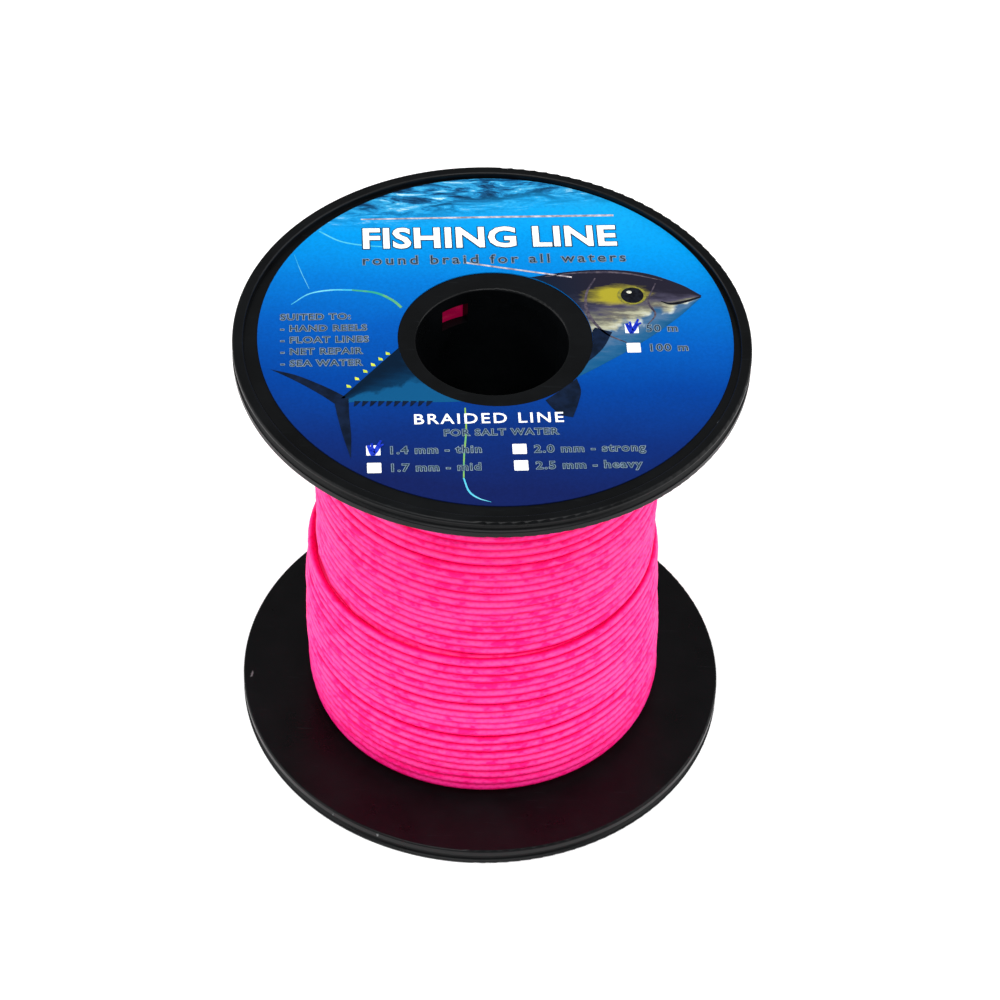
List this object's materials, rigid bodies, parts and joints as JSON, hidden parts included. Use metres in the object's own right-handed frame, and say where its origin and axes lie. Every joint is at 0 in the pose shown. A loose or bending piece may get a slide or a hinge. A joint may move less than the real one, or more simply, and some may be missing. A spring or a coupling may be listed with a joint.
{
  "type": "fishing line spool",
  "caption": "Two flanged drum of braided fishing line with a printed label and a bore for a spindle.",
  "frame": {"origin": "centre of the lower flange's rim, on the surface that the spool stands on", "axes": "+Z along the spool's axis to the labelled flange, +Y towards the top of the label's print"},
  "size_m": [0.072, 0.072, 0.0718],
  "materials": {
    "black_plastic": "injection moulded black polystyrene, satin with fine scuffs",
    "label_print": "offset print under a glossy film",
    "braided_line": "fluorescent pink round braid, slightly waxy"
  },
  "bodies": {
    "root": {"lower_flange": "black_plastic", "drum": "black_plastic", "upper_flange": "black_plastic", "label": "label_print", "wound_line": "braided_line"}
  },
  "joints": []
}
